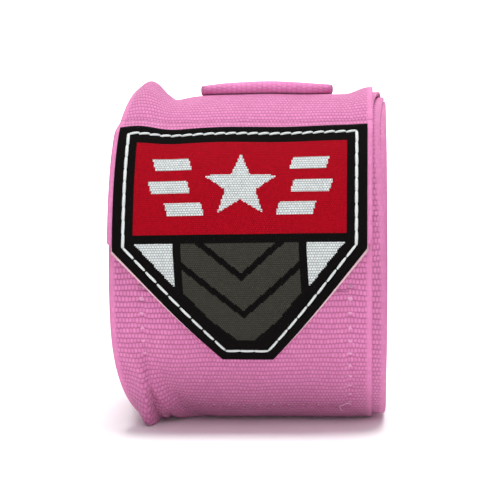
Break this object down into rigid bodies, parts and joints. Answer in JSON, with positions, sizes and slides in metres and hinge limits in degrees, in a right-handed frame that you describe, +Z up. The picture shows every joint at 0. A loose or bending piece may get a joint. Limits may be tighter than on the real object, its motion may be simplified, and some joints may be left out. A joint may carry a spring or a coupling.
{
  "type": "hand wrap",
  "caption": "Rolled elastic hand wrap: a band wound from its fold, with a thumb loop of tape and a peel-open hook-and-loop closure under a woven shield patch.",
  "frame": {"origin": "middle of the flat face that the roll rests on", "axes": "+X along the roll's axis, towards the end where the inner turns stand out; -Y the front, where the patch is; +Z up"},
  "size_m": [0.0528, 0.0717, 0.0665],
  "materials": {
    "band": "ribbed elastic cotton weave, matt",
    "patch": "damask-woven polyester label, slight satin",
    "patch_thread": "white polyester sewing thread",
    "band_thread": "pink polyester sewing thread",
    "hook": "woven nylon hook pad",
    "pile": "napped nylon loop pad",
    "tape": "ribbed cotton tape, matt"
  },
  "bodies": {
    "roll": {"wound_turns": "band", "outer_turn": "band", "closure_run": "band", "loop_pad": "pile", "loop_pad_stitching": "band_thread", "loop_end_lead": "band", "loop_tails": "tape", "loop_seam_stitching": "band_thread"},
    "closure": {"closure_end": "band", "hook_pad": "hook", "closure_patch": "patch", "patch_stitching": "patch_thread"},
    "loop": {"thumb_loop": "tape"}
  },
  "joints": [
    {"name": "closure_peel", "type": "hinge", "parent": "roll", "child": "closure", "pos_m": [0, -0.01746, 0.05914], "axis": [-1, 0, 0], "range_deg": [0, 120]},
    {"name": "thumb_loop_swing", "type": "hinge", "parent": "roll", "child": "loop", "pos_m": [0, 0.03421, 0.02639], "axis": [-1, 0, 0], "range_deg": [0, 110]}
  ]
}
